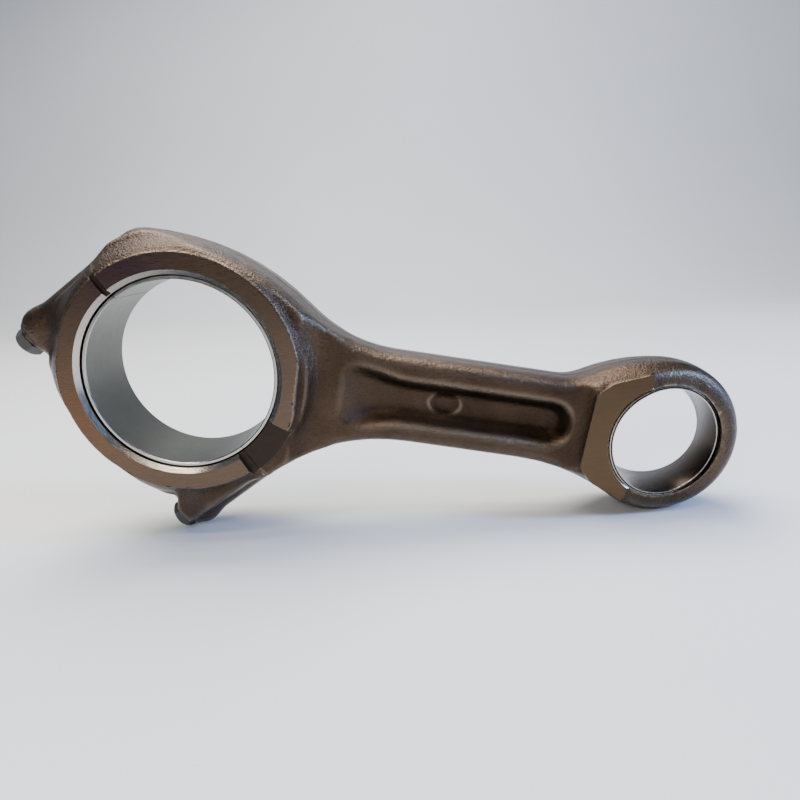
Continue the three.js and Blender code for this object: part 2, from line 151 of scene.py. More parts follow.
def opening_centre(name):
    """Middle of an opening that the record states."""
    for opening in frame["record"]["physics"]["openings"]:
        if opening["name"] == name:
            low, high = opening["box_m"]
            return (Vector(low) + Vector(high)) / 2
    raise KeyError(name)


CRANKPIN = opening_centre("crankpin_bore")
PISTON_PIN = opening_centre("piston_pin_bore")
PIN_X = (PISTON_PIN - CRANKPIN).length / MM
ALONG = (PISTON_PIN - CRANKPIN).normalized()
FRONT = Vector((0, -1, 0))
UPWARD = FRONT.cross(ALONG)
TO_WORLD = (
    Matrix.Translation(CRANKPIN)
    @ Matrix((ALONG, UPWARD, FRONT)).transposed().to_4x4()
    @ Matrix.Scale(MM, 4)
)
TO_ROD = TO_WORLD.inverted()
JOINT_TURN = Matrix.Rotation(JOINT_ANGLE, 4, "Z")
PIN_SHIFT = Matrix.Translation((PIN_X, 0, 0))
TAPER_X = PIN_X - TAPER_START


# ---- Solids ----

def new_object(name, mesh):
    """A piece at the origin, linked to the scene."""
    piece = bpy.data.objects.new(name, mesh)
    bpy.context.scene.collection.objects.link(piece)
    return piece


def to_piece(bm, name):
    """A piece from a bmesh in the rod's frame."""
    bmesh.ops.transform(bm, matrix=TO_WORLD, verts=bm.verts)
    mesh = bpy.data.meshes.new(name)
    bm.to_mesh(mesh)
    bm.free()
    return new_object(name, mesh)


def add_shape(bm, shape):
    """Adds one bmesh to another and frees it."""
    mesh = bpy.data.meshes.new("shape")
    shape.to_mesh(mesh)
    shape.free()
    bm.from_mesh(mesh)
    bpy.data.meshes.remove(mesh)


def add_turned(bm, profile, matrix=Matrix(), steps=96):
    """A solid of revolution about Z from [radius, height] points, closed on itself."""
    shape = bmesh.new()
    verts = [shape.verts.new((radius, 0, height)) for radius, height in profile]
    edges = [shape.edges.new(pair) for pair in zip(verts, verts[1:] + verts[:1])]
    bmesh.ops.spin(
        shape, geom=verts + edges, cent=(0, 0, 0), axis=(0, 0, 1), angle=math.tau,
        steps=steps, use_merge=True,
    )
    bmesh.ops.dissolve_degenerate(shape, dist=1e-4, edges=shape.edges)
    bmesh.ops.remove_doubles(shape, verts=shape.verts, dist=1e-4)
    bmesh.ops.transform(shape, matrix=matrix, verts=shape.verts)
    bmesh.ops.recalc_face_normals(shape, faces=shape.faces)
    add_shape(bm, shape)


def add_disc(bm, radius, low, high, matrix=Matrix(), segments=96):
    """A plain round bar about Z, from one height to another."""
    place = matrix @ Matrix.Translation((0, 0, (low + high) / 2))
    bmesh.ops.create_cone(
        bm, cap_ends=True, segments=segments, radius1=radius, radius2=radius,
        depth=high - low, matrix=place,
    )


def add_block(bm, low, high, matrix=Matrix()):
    """A box between two corners."""
    low, high = Vector(low), Vector(high)
    size = Matrix.Diagonal((*(high - low), 1))
    bmesh.ops.create_cube(bm, size=1, matrix=matrix @ Matrix.Translation((low + high) / 2) @ size)


def add_prism(bm, outline, low, high, matrix=Matrix()):
    """A flat outline in X and Y, extruded from one height to another."""
    shape = bmesh.new()
    verts = [shape.verts.new((x, y, low)) for x, y in outline]
    base = shape.faces.new(verts)
    grown = bmesh.ops.extrude_face_region(shape, geom=[base])["geom"]
    top = [item for item in grown if isinstance(item, bmesh.types.BMVert)]
    bmesh.ops.translate(shape, vec=(0, 0, high - low), verts=top)
    bmesh.ops.transform(shape, matrix=matrix, verts=shape.verts)
    bmesh.ops.recalc_face_normals(shape, faces=shape.faces)
    add_shape(bm, shape)


def arc(radius, start, end, steps):
    """Points along an arc about the origin."""
    angles = [start + (end - start) * i / steps for i in range(steps + 1)]
    return [(radius * math.cos(a), radius * math.sin(a)) for a in angles]


def along_v(u):
    """Turns a shape about Z into one along V, at a bolt's place."""
    return JOINT_TURN @ Matrix.Translation((u, 0, 0)) @ Matrix.Rotation(math.radians(-90), 4, "X")


def apply_modifiers(piece):
    """Bakes a piece's modifiers into its mesh."""
    depsgraph = bpy.context.evaluated_depsgraph_get()
    mesh = bpy.data.meshes.new_from_object(piece.evaluated_get(depsgraph))
    piece.modifiers.clear()
    old = piece.data
    piece.data = mesh
    bpy.data.meshes.remove(old)


def cut(piece, tool_bm, operation="DIFFERENCE"):
    """Cuts a piece with a tool, or keeps what they share."""
    tool = to_piece(tool_bm, piece.name + "_tool")
    boolean = piece.modifiers.new("cut", "BOOLEAN")
    boolean.operation = operation
    boolean.solver = "EXACT"
    boolean.object = tool
    apply_modifiers(piece)
    bpy.data.objects.remove(tool)


# ---- The forging ----

def cad_solid(bm, node):
    """Adds a merged copy of a CAD node's mesh, in the rod's frame."""
    shape = bmesh.new()
    shape.from_mesh(frame["nodes"][node].data)
    bmesh.ops.transform(shape, matrix=TO_ROD, verts=shape.verts)
    bmesh.ops.remove_doubles(shape, verts=shape.verts, dist=1e-4)
    add_shape(bm, shape)


def forging_blank():
    """Rod and cap in one, with every bore and hollow filled and the milled faces left proud."""
    bm = bmesh.new()
    cad_solid(bm, "rod_body")
    cad_solid(bm, "bearing_cap")
    raised = BIG_HALF + FACE_ALLOWANCE
    add_disc(bm, THRUST_R + 0.6, -raised, raised)
    add_block(bm, (-70, -1, -9), (70, 1, 9), JOINT_TURN)
    hollow_half = HOLLOW_HALF - 0.1
    add_block(bm, (HOLLOW_START, -hollow_half, -FLANGE_HALF),
              (HOLLOW_END + 3.5, hollow_half, FLANGE_HALF))
    for u in (-BOLT_OFFSET, BOLT_OFFSET):
        place = along_v(u)
        add_disc(bm, THREAD_R + BORE_FILLING, -SEAT_DEPTH - 1.5, THREAD_GRIP, place, 32)
        add_disc(bm, SEAT_R + 0.6, -SEAT_DEPTH - 2.5, -SEAT_DEPTH + 6, place, 32)
    lower = [(PIN_X - EYE_R + past, -half) for past, half in FLAT_OUTLINE]
    lower.append((TAPER_X + FLAT_END[0], -FLAT_END[1]))
    outline = lower + [(x, -y) for x, y in reversed(lower)]
    for side in (1, -1):
        near, far = sorted((side * FLAT_ROOT, side * (EYE_HALF + EYE_ALLOWANCE)))
        add_prism(bm, outline, near, far)
        add_eye_filling(bm, side)
    return to_piece(bm, "forging")


def add_eye_filling(bm, side):
    """Fills one half of the small end's bore, level at first and then as its taper falls."""
    scratch = bmesh.new()
    circle = [(PIN_X + x, y) for x, y in arc(EYE_BORE_R + 1.5, 0, math.tau, 72)[:-1]]
    add_prism(scratch, circle, -1, EYE_HALF)
    bmesh.ops.bisect_plane(
        scratch, geom=scratch.verts[:] + scratch.edges[:] + scratch.faces[:],
        plane_co=(TAPER_X, 0, 0), plane_no=(1, 0, 0),
    )
    for vert in scratch.verts:
        if vert.co.z > 0:
            vert.co.z = EYE_HALF - TAPER_SLOPE * max(0, vert.co.x - TAPER_X)
    bmesh.ops.scale(scratch, vec=(1, 1, side), verts=scratch.verts)
    bmesh.ops.recalc_face_normals(scratch, faces=scratch.faces)
    add_shape(bm, scratch)


def ease(t):
    """From nothing to one, level at both ends."""
    t = min(1, max(0, t))
    return t * t * (3 - 2 * t)


def along(x, run):
    """How far a place lies along a run, from its start to its end, eased."""
    start, end = run
    return ease((x - start) / (end - start))


def hollow_surface(x, y):
    """Height of the shank's hollow, which spreads and runs out towards the big end."""
    half = HOLLOW_HALF + HOLLOW_SPREAD * along(x, SPREAD_RUN[::-1])
    across = math.hypot(max(0, x - HOLLOW_END + HOLLOW_HALF), y) / half
    if across >= 1:
        return math.inf
    floor = HOLLOW_FLOOR + HOLLOW_RISE * along(x, RISE_RUN[::-1])
    rise = along(across, (HOLLOW_FLAT, 1))
    return floor + max(0, FLANGE_HALF + 2 - floor) * rise


def die_height(x, y, z):
    """Distance of a forged point from the middle plane, once the dies have shaped it."""
    height = abs(z)
    if THRUST_R < x < HOLLOW_END:
        return min(height, hollow_surface(x, y))
    u, v, _ = JOINT_TURN.inverted() @ Vector((x, y, z))
    if v < 0:
        return height * (1 - LUG_SLIM * along(-v, LUG_RUN) * along(abs(u), LUG_INNER))
    if x > PIN_X - EYE_R - 10 and height < EYE_HALF + 1:
        height = min(height, EYE_HALF - EYE_STEP)
        if x > TAPER_X and height > EYE_HALF / 2:
            fall = ease((math.hypot(x - PIN_X, y) - EYE_BORE_R) / EYE_CROWN_WIDTH)
            height -= EYE_CROWN * fall * ease((x - TAPER_X) / EYE_CROWN_RUN)
    return height


def soften(piece):
    """The forged skin: one even mesh, pressed to shape, its edges rounded as dies leave them."""
    remesh = piece.modifiers.new("skin", "REMESH")
    remesh.mode = "VOXEL"
    remesh.voxel_size = VOXEL * MM
    apply_modifiers(piece)
    bm = bmesh.new()
    bm.from_mesh(piece.data)
    bmesh.ops.transform(bm, matrix=TO_ROD, verts=bm.verts)
    for vert in bm.verts:
        vert.co.z = math.copysign(die_height(*vert.co), vert.co.z)
    bmesh.ops.transform(bm, matrix=TO_WORLD, verts=bm.verts)
    bm.to_mesh(piece.data)
    bm.free()
    smooth = piece.modifiers.new("rounding", "SMOOTH")
    smooth.factor = 0.5
    smooth.iterations = SMOOTHING
    apply_modifiers(piece)


def press_details(piece):
    """The oval mark in the web and the trimmed flash line, kept inside the solids' box."""
    bm = bmesh.new()
    bm.from_mesh(piece.data)
    bmesh.ops.transform(bm, matrix=TO_ROD, verts=bm.verts)
    bm.normal_update()
    for vert in bm.verts:
        x, y, z = vert.co
        across = math.hypot((x - MARK_PLACE[0]) / MARK_SIZE[0], (y - MARK_PLACE[1]) / MARK_SIZE[1])
        if across < 1.6 and abs(z) < 8:
            rim = math.exp(-((across - 1) / MARK_RIM) ** 2)
            dish = MARK_DISH * max(0, 1 - across ** 2)
            vert.co += vert.normal * MARK_RISE * (rim - dish)
        if abs(vert.normal.z) < 0.5 and abs(z) < 3 * FLASH_HALF:
            vert.co += vert.normal * FLASH_RISE * math.exp(-(z / FLASH_HALF) ** 2)
    bmesh.ops.transform(bm, matrix=TO_WORLD, verts=bm.verts)
    low, high = CAD_BOX
    for vert in bm.verts:
        vert.co = [min(max(value, low[i]), high[i]) for i, value in enumerate(vert.co)]
    bm.to_mesh(piece.data)
    bm.free()


# ---- Machining ----

def face_mills(over_taper):
    """Takes the thrust faces, the small end's faces, over its taper or not, and the bolt seats."""
    bm = bmesh.new()
    far_x = PIN_X + EYE_R + TAPER_MILL_OVERRUN
    far_half = EYE_HALF - (far_x - TAPER_X) * TAPER_SLOPE
    for side in (1, -1):
        near, far = sorted((side * BIG_HALF, side * MILL_TOP))
        add_block(bm, (-MILL_HALF, -MILL_HALF, near), (MILL_HALF - 10, MILL_HALF, far))
        edge = [(SIDE_MILL_START, side * EYE_HALF)]
        if over_taper:
            edge += [(TAPER_X, side * EYE_HALF), (far_x, side * far_half)]
        else:
            edge += [(TAPER_X + SIDE_MILL_OVERRUN, side * EYE_HALF)]
        outline = edge + [(edge[-1][0], side * MILL_TOP), (SIDE_MILL_START, side * MILL_TOP)]
        add_prism(bm, outline, -70, 70, Matrix.Rotation(math.radians(90), 4, "X"))
        inner, outer = sorted((side * (BOLT_OFFSET - LUG_WIDTH / 2), side * MILL_HALF))
        add_block(bm, (inner, -MILL_HALF, -SEAT_MILL_HALF), (outer, -SEAT_DEPTH, SEAT_MILL_HALF),
                  JOINT_TURN)
    return bm


def bores():
    """Crankpin and piston-pin bores with their chamfers, and the bolt holes."""
    bm = bmesh.new()
    add_bore(bm, HOUSING_R, HOUSING_CHAMFER, BIG_HALF, Matrix(), 192)
    add_bore(bm, EYE_BORE_R, EYE_CHAMFER, EYE_HALF, PIN_SHIFT, 144)
    for u in (-BOLT_OFFSET, BOLT_OFFSET):
        add_disc(bm, THREAD_R + GAP, -MILL_HALF, THREAD_GRIP + HOLE_SPARE, along_v(u), 48)
    return bm


def add_bore(bm, radius, chamfer, half, matrix, steps):
    """A through bore, chamfered at both ends, through a wall from -half to half."""
    outer = half + chamfer
    wide = radius + 2 * chamfer
    profile = [
        (0, -outer), (wide, -outer), (radius, chamfer - half),
        (radius, half - chamfer), (wide, outer), (0, outer),
    ]
    add_turned(bm, profile, matrix, steps)


def slot_and_patch():
    """The slot and the low patch in the front thrust face, and the notches for the tangs."""
    bm = bmesh.new()
    slot_low = (-HOUSING_R - SLOT_REACH, -2 * SLOT_WIDTH / 3, BIG_HALF - SLOT_DEPTH)
    add_block(bm, slot_low, (4 - HOUSING_R, SLOT_WIDTH / 3, BIG_HALF + 6), JOINT_TURN)
    start, end = PATCH_ARC
    patch = arc(THRUST_R + PATCH_REACH, start, end, 10) + arc(HOUSING_R - 4, end, start, 10)
    add_prism(bm, patch, BIG_HALF - PATCH_DEPTH, BIG_HALF + 6)
    add_tangs(bm, GAP)
    return bm


def add_tangs(bm, clearance):
    """The shells' two tangs, one on each side of the parting plane, or the notches for them."""
    reach = HOUSING_R + TANG_RISE + clearance
    half = TANG_HALF + clearance
    for side in (1, -1):
        near, far = sorted((0, side * (TANG_LENGTH + clearance)))
        middle = side * TANG_OFFSET
        add_block(bm, (-reach, near, middle - half), (1 - HOUSING_R, far, middle + half), JOINT_TURN)


def half_space(side):
    """Everything on one side of the parting plane."""
    bm = bmesh.new()
    near, far = sorted((side * GAP / 2, side * 500))
    add_block(bm, (-500, near, -60), (500, far, 60), JOINT_TURN)
    return bm


# ---- Finishes ----

def node(tree, kind, inputs=None, **settings):
    """A shader node; an input is a value or another node's socket."""
    made = tree.nodes.new(kind)
    for key, value in settings.items():
        setattr(made, key, value)
    for key, value in (inputs or {}).items():
        if isinstance(value, bpy.types.NodeSocket):
            tree.links.new(value, made.inputs[key])
        else:
            made.inputs[key].default_value = value
    return made


def new_material(name):
    """A material, its node tree, its shader and the Object coordinates to place patterns by."""
    material = bpy.data.materials.new(name)
    material.use_nodes = True
    tree = material.node_tree
    shader = tree.nodes["Principled BSDF"]
    place = node(tree, "ShaderNodeTexCoord").outputs["Object"]
    return material, tree, shader, place


def noise(tree, place, scale, detail=3, roughness=0.5):
    """Soft noise; one grain is about one over the scale, in metres."""
    made = node(tree, "ShaderNodeTexNoise", {
        "Vector": place, "Scale": scale, "Detail": detail, "Roughness": roughness,
    })
    return made.outputs["Fac"]


def ramp(tree, factor, *stops):
    """A colour ramp from (position, colour) stops."""
    made = node(tree, "ShaderNodeValToRGB", {"Fac": factor})
    elements = made.color_ramp.elements
    while len(elements) < len(stops):
        elements.new(0.5)
    for element, (position, colour) in zip(elements, stops):
        element.position = position
        element.color = (*colour, 1)
    return made.outputs["Color"]


def mix(tree, factor, first, second):
    """A colour between two, each given as a value or a socket."""
    made = node(tree, "ShaderNodeMix", data_type="RGBA")
    for socket, value in (("Factor_Float", factor), ("A_Color", first), ("B_Color", second)):
        target = next(item for item in made.inputs if item.identifier == socket)
        if isinstance(value, bpy.types.NodeSocket):
            tree.links.new(value, target)
        else:
            target.default_value = value if socket == "Factor_Float" else (*value, 1)
    return next(item for item in made.outputs if item.identifier == "Result_Color")


def remap(tree, value, low, high, to_low, to_high):
    """A value carried from one range to another, and held at its ends."""
    made = node(tree, "ShaderNodeMapRange", {
        "Value": value, "From Min": low, "From Max": high, "To Min": to_low, "To Max": to_high,
    })
    return made.outputs["Result"]


def bump(tree, height, distance, strength, normal=None):
    """The surface's normal, tilted by a height map of the given depth in metres."""
    inputs = {"Height": height, "Distance": distance, "Strength": strength}
    if normal is not None:
        inputs["Normal"] = normal
    return node(tree, "ShaderNodeBump", inputs).outputs["Normal"]


def near(tree, place, centre, radius):
    """One at a place on the object, falling to nothing at a radius from it."""
    offset = node(tree, "ShaderNodeVectorMath", {0: place, 1: centre}, operation="DISTANCE")
    return remap(tree, offset.outputs["Value"], 0, radius, 1, 0)


def rod_point(x, y, z):
    """A point of the rod's frame, in metres in the object's frame."""
    return TO_WORLD @ Vector((x, y, z))


def forged_steel(name, dark, light, wear_and_highlight):
    """Shot-blasted forging with a bronze oxide, lighter on its rubbed edges, partly as wear and
    partly as a painted highlight, and darker in its creases as painted shade.
    """
    material, tree, shader, place = new_material(name)
    cloud = noise(tree, place, 28, 4)
    grain = noise(tree, place, 900, 2)
    sparkle = noise(tree, place, 2600, 1)
    base = ramp(tree, cloud, (0.3, dark), (0.7, light))
    base = mix(tree, remap(tree, grain, 0.35, 0.65, 0, 0.35), base, dark)
    edge = node(tree, "ShaderNodeNewGeometry").outputs["Pointiness"]
    # edges lighter where the pointiness is high: partly rubbed wear, partly a painted highlight
    worn_and_highlit = remap(tree, edge, 0.504, 0.55, 0, 0.7)
    # painted shade: darker in creases and hollows, where the pointiness is low
    painted_crease_shade = remap(tree, edge, 0.497, 0.465, 0, 0.7)
    base = mix(tree, painted_crease_shade, base, [0.45 * c for c in dark])
    base = mix(tree, worn_and_highlit, base, wear_and_highlight)
    tree.links.new(base, shader.inputs["Base Color"])
    shader.inputs["Metallic"].default_value = 1
    rough = remap(tree, sparkle, 0.3, 0.7, 0.24, 0.44)
    tree.links.new(rough, shader.inputs["Roughness"])
    coarse = bump(tree, noise(tree, place, 300, 3), 0.0005, 0.7)
    fine = bump(tree, grain, 0.00045, 0.9, coarse)
    pitted = bump(tree, sparkle, 0.00018, 0.9, fine)
    tree.links.new(pitted, shader.inputs["Normal"])
    tree.links.new(pitted, shader.inputs["Coat Normal"])
    shader.inputs["Coat Weight"].default_value = 0.16
    shader.inputs["Coat Roughness"].default_value = 0.3
    return material


def ground_steel(name, colour, rough, tints=()):
    """A ground face under a thin oxide, with heat tints: a colour, a place and a reach each."""
    material, tree, shader, place = new_material(name)
    cloud = noise(tree, place, 18, 3)
    base = ramp(tree, cloud, (0.3, [0.82 * c for c in colour]), (0.7, colour))
    for tint, tint_place, reach in tints:
        base = mix(tree, near(tree, place, tint_place, reach), base, tint)
    stretched = node(tree, "ShaderNodeMapping", {"Vector": place, "Scale": (1, 1, 14)})
    lines = noise(tree, stretched.outputs["Vector"], 180, 3)
    base = mix(tree, remap(tree, lines, 0.4, 0.6, 0, 0.12), base, [0.6 * c for c in colour])
    tree.links.new(base, shader.inputs["Base Color"])
    shader.inputs["Metallic"].default_value = 1
    tree.links.new(remap(tree, lines, 0.3, 0.7, rough - 0.05, rough + 0.06),
                   shader.inputs["Roughness"])
    tree.links.new(bump(tree, noise(tree, place, 700, 2), 0.00004, 0.5), shader.inputs["Normal"])
    return material


def bright_steel(name, colour, rough, line_scale=(1, 14, 1), grain_height=0.00003):
    """A bored or turned surface, with fine lines round it."""
    material, tree, shader, place = new_material(name)
    stretched = node(tree, "ShaderNodeMapping", {"Vector": place, "Scale": line_scale})
    lines = noise(tree, stretched.outputs["Vector"], 220, 3)
    cloud = noise(tree, place, 30, 3)
    base = ramp(tree, cloud, (0.3, [0.85 * c for c in colour]), (0.7, colour))
    tree.links.new(base, shader.inputs["Base Color"])
    shader.inputs["Metallic"].default_value = 1
    tree.links.new(remap(tree, lines, 0.3, 0.7, rough - 0.06, rough + 0.06),
                   shader.inputs["Roughness"])
    tree.links.new(bump(tree, lines, grain_height, 0.6), shader.inputs["Normal"])
    return material


def black_oxide(name):
    """Oiled black oxide on a bolt, greyer where it has rubbed."""
    material, tree, shader, place = new_material(name)
    edge = node(tree, "ShaderNodeNewGeometry").outputs["Pointiness"]
    cloud = noise(tree, place, 120, 3)
    base = ramp(tree, cloud, (0.3, (0.012, 0.012, 0.014)), (0.75, (0.035, 0.035, 0.04)))
    base = mix(tree, remap(tree, edge, 0.52, 0.62, 0, 0.5), base, (0.12, 0.12, 0.12))
    tree.links.new(base, shader.inputs["Base Color"])
    shader.inputs["Metallic"].default_value = 0.6
    tree.links.new(remap(tree, cloud, 0.3, 0.7, 0.34, 0.5), shader.inputs["Roughness"])
    tree.links.new(bump(tree, noise(tree, place, 900, 2), 0.00008, 0.6), shader.inputs["Normal"])
    return material


WEAR_AND_HIGHLIGHT = (0.34, 0.27, 0.195)     # a forging's rubbed edges: partly wear, partly a painted highlight
FORGED_ROD = forged_steel("forged_rod", (0.03, 0.016, 0.009), (0.085, 0.055, 0.034), WEAR_AND_HIGHLIGHT)
FORGED_CAP = forged_steel("forged_cap", (0.034, 0.02, 0.012), (0.092, 0.061, 0.039), WEAR_AND_HIGHLIGHT)
PURPLE_TINT = ((0.075, 0.045, 0.058), rod_point(-32, 50, BIG_HALF), 0.035)
COPPER_TINT = ((0.14, 0.078, 0.046), rod_point(-48, -30, BIG_HALF), 0.04)
THRUST_FINISH = ground_steel("thrust_face", (0.115, 0.08, 0.057), 0.3, (PURPLE_TINT, COPPER_TINT))
SIDE_FINISH = ground_steel("small_end_face", (0.1, 0.064, 0.036), 0.34)
RAW_FINISH = ground_steel("raw_patch", (0.045, 0.034, 0.027), 0.55)
CHAMFER_FINISH = bright_steel("bright_chamfer", (0.46, 0.42, 0.36), 0.22)
BORED_FINISH = bright_steel("bored_steel", (0.12, 0.1, 0.08), 0.3)
JOINT_FINISH = bright_steel("joint_face", (0.3, 0.28, 0.25), 0.34)
LINING_FINISH = bright_steel("bearing_lining", (0.09, 0.092, 0.081), 0.4)
SHELL_EDGE_FINISH = bright_steel("shell_edge", (0.42, 0.41, 0.38), 0.2)
# painted shade: the bush's bore is darkened to the shade inside the small end
BUSH_SHADED_FINISH = bright_steel("bush_lining_painted_shade", (0.03, 0.02, 0.014), 0.26)
BUSH_EDGE_FINISH = bright_steel("bush_edge", (0.5, 0.47, 0.42), 0.24, grain_height=0.00012)
BOLT_FINISH = black_oxide("black_oxide")


def paint(piece, finishes, choose):
    """Gives each face the finish that a function of its middle and normal picks."""
    piece.data.materials.clear()
    for finish in finishes:
        piece.data.materials.append(finish)
    turn = TO_ROD.to_3x3().normalized()
    for face in piece.data.polygons:
        face.material_index = choose(TO_ROD @ face.center, turn @ face.normal)
        face.use_smooth = True


FORGED, THRUST, SIDE, RAW, CHAMFER, BORED, JOINT = range(7)


def forging_finish(middle, normal):
    """Which finish a face of the rod or the cap has."""
    x, y, z = middle
    from_crank = math.hypot(x, y)
    from_pin = math.hypot(x - PIN_X, y)
    v = (JOINT_TURN.inverted() @ middle).y
    across = abs((JOINT_TURN.inverted().to_3x3() @ normal).y)
    facing = abs(normal.z)
    if facing > 0.99 and abs(abs(z) - BIG_HALF) < 0.01:
        return THRUST
    if facing > 0.999 and x > PIN_X - EYE_R - 10 and abs(abs(z) - EYE_HALF) < 0.01:
        return SIDE
    below = BIG_HALF - z
    if (facing > 0.99 or facing < 0.1) and 0 < below < PATCH_DEPTH + 0.01 and x < 70:
        return RAW
    if across > 0.9 and abs(v) < GAP and from_crank < 90:
        return JOINT
    if facing < 0.1 and (from_crank < HOUSING_R + 0.2 or from_pin < EYE_BORE_R + 0.1):
        return BORED
    if 0.1 < facing < 0.95 and from_crank < HOUSING_R + HOUSING_CHAMFER + 0.1:
        return CHAMFER
    at_eye_edge = from_pin < EYE_BORE_R + EYE_CHAMFER + 0.1
    if 0.1 < facing < 0.95 and at_eye_edge and x < TAPER_X + 3:
        return CHAMFER
    if across > 0.9 and abs(v + SEAT_DEPTH) < 0.02:
        return BORED
    return FORGED


FORGING_FINISHES = [
    None, THRUST_FINISH, SIDE_FINISH, RAW_FINISH, CHAMFER_FINISH, BORED_FINISH, JOINT_FINISH,
]


def finish_forging(piece, skin):
    """Forged skin and machined finishes, with the machined edges kept crisp."""
    paint(piece, [skin] + FORGING_FINISHES[1:], forging_finish)
    piece.data.set_sharp_from_angle(angle=math.radians(28))


def make_forgings():
    """The rod and the cap: forged in one, machined, then parted at the joint."""
    whole = forging_blank()
    soften(whole)
    press_details(whole)
    cut(whole, face_mills(False))
    cut(whole, bores())
    cut(whole, slot_and_patch())
    cap = new_object("cap_forging", whole.data.copy())
    cap.name = "cap_forging"
    whole.name = "rod_forging"
    cut(whole, half_space(1), "INTERSECT")
    cut(cap, half_space(-1), "INTERSECT")
    finish_forging(whole, FORGED_ROD)
    finish_forging(cap, FORGED_CAP)
    return whole, cap


# ---- Shells and bush ----

def tube_profile(inner, outer, half, chamfer):
    """Half section of a tube with all four edges chamfered."""
    return [
        (inner, chamfer - half), (inner + chamfer, -half), (outer - chamfer, -half),
        (outer, chamfer - half), (outer, half - chamfer), (outer - chamfer, half),
        (inner + chamfer, half), (inner, half - chamfer),
    ]


def make_shell(name, side):
    """Half of the crankpin bearing, with its tang."""
    bm = bmesh.new()
    profile = tube_profile(HOUSING_R - SHELL_WALL, HOUSING_R - GAP, SHELL_HALF, SHELL_CHAMFER)
    add_turned(bm, profile, Matrix(), 192)
    piece = to_piece(bm, name)
    tangs = bmesh.new()
    add_tangs(tangs, 0)
    cut(piece, tangs, "UNION")
    cut(piece, half_space(side), "INTERSECT")
    lining_r = HOUSING_R - SHELL_WALL + 0.05

    def choose(middle, normal):
        on_lining = math.hypot(middle.x, middle.y) < lining_r and abs(middle.z) < SHELL_HALF - 0.6
        return 0 if on_lining else 1

    paint(piece, [LINING_FINISH, SHELL_EDGE_FINISH], choose)
    piece.data.set_sharp_from_angle(angle=math.radians(30))
    return piece


def make_bush():
    """The small-end bush, its ends on the same taper as the rod."""
    bm = bmesh.new()
    profile = tube_profile(EYE_BORE_R - BUSH_WALL, EYE_BORE_R - GAP, EYE_HALF + 1, 0.1)
    add_turned(bm, profile, PIN_SHIFT, 144)
    piece = to_piece(bm, "pin_bush")
    cut(piece, face_mills(True))
    edges = piece.modifiers.new("edges", "BEVEL")
    edges.width = 0.45 * MM
    edges.segments = 2
    edges.limit_method = "ANGLE"
    edges.angle_limit = math.radians(50)
    apply_modifiers(piece)
    lining_r = EYE_BORE_R - BUSH_WALL + 0.05

    def choose(middle, normal):
        return 0 if math.hypot(middle.x - PIN_X, middle.y) < lining_r else 1

    paint(piece, [BUSH_SHADED_FINISH, BUSH_EDGE_FINISH], choose)
    piece.data.set_sharp_from_angle(angle=math.radians(30))
    return piece


# ---- Bolts ----

def bolt_profile():
    """Half section of a bolt without its hexagon, from its head's end to its point."""
    seat = -SEAT_DEPTH - GAP
    thread_start = THREAD_GRIP - THREAD_LENGTH
    root = THREAD_R - THREAD_DEPTH
    points = [
        (0, seat - 1), (REACH_R + 0.6, seat - 1), (REACH_R + 0.6, seat), (REACH_R, seat + 0.8),
        (REACH_R, thread_start - 1), (root, thread_start),
    ]
    for turn in range(int(THREAD_LENGTH / THREAD_PITCH) - 1):
        v = thread_start + turn * THREAD_PITCH
        points += [(root, v + 0.2), (THREAD_R, v + 0.7), (THREAD_R, v + 0.95), (root, v + 1.45)]
    return points + [(root, THREAD_GRIP - 0.8), (root - 0.8, THREAD_GRIP), (0, THREAD_GRIP)]


def make_bolt(name, u):
    """A cap bolt: hexagon head with a chamfered end and washer face, reach and thread."""
    seat = -SEAT_DEPTH - GAP
    end = seat - HEAD_HEIGHT
    corner_r = HEAD_ACROSS_FLATS / math.sqrt(3)
    bm = bmesh.new()
    hexagon_place = along_v(u) @ Matrix.Rotation(math.radians(30), 4, "Z")
    add_disc(bm, corner_r, end, seat - 0.4, hexagon_place, 6)
    head = to_piece(bm, name)
    dome = bmesh.new()
    flat_r = HEAD_ACROSS_FLATS / 2
    profile = [
        (0, end), (flat_r - 1.6, end), (flat_r - 0.6, end + 0.5), (flat_r + 0.2, end + 1.3),
        (corner_r + 0.4, end + 2.6), (corner_r + 0.4, seat - 0.7), (corner_r - 0.5, seat), (0, seat),
    ]
    add_turned(dome, profile, along_v(u), 72)
    cut(head, dome, "INTERSECT")
    washer = bmesh.new()
    add_disc(washer, flat_r - 0.3, seat - 1, seat, along_v(u), 64)
    cut(head, washer, "UNION")
    shank = bmesh.new()
    add_turned(shank, bolt_profile(), along_v(u), 64)
    cut(head, shank, "UNION")
    edges = head.modifiers.new("edges", "BEVEL")
    edges.width = 0.18 * MM
    edges.segments = 2
    edges.limit_method = "ANGLE"
    edges.angle_limit = math.radians(35)
    apply_modifiers(head)
    paint(head, [BOLT_FINISH], lambda middle, normal: 0)
    head.data.set_sharp_from_angle(angle=math.radians(32))
    return head


# ---- The assembly ----

rod_forging, cap_forging = make_forgings()
ASSEMBLY = [
    (rod_forging, "rod_body", "rod", "forged_rod"),
    (cap_forging, "bearing_cap", "cap", "forged_cap"),
    (make_shell("upper_shell", 1), "rod_bearing_shell", "rod", "bearing_lining"),
    (make_shell("lower_shell", -1), "cap_bearing_shell", "cap", "bearing_lining"),
    (make_bush(), "small_end_bush", "rod", "bush"),
    (make_bolt("upper_bolt_piece", -BOLT_OFFSET), "upper_cap_bolt", "upper_bolt", "black_bolt"),
    (make_bolt("lower_bolt_piece", BOLT_OFFSET), "lower_cap_bolt", "lower_bolt", "black_bolt"),
]
for piece, cad_node, body, record_slot in ASSEMBLY:
    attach(piece, body)
    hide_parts(cad_node)


# ---- Floor, light and camera ----

FLOOR_FRONT = -1.6                    # in metres, as are the next four
FLOOR_BACK = 0.9
FLOOR_SWEEP = 0.5
WALL_TOP = 2.5
FLOOR_HALF = 3
SWEEP_STEPS = 10


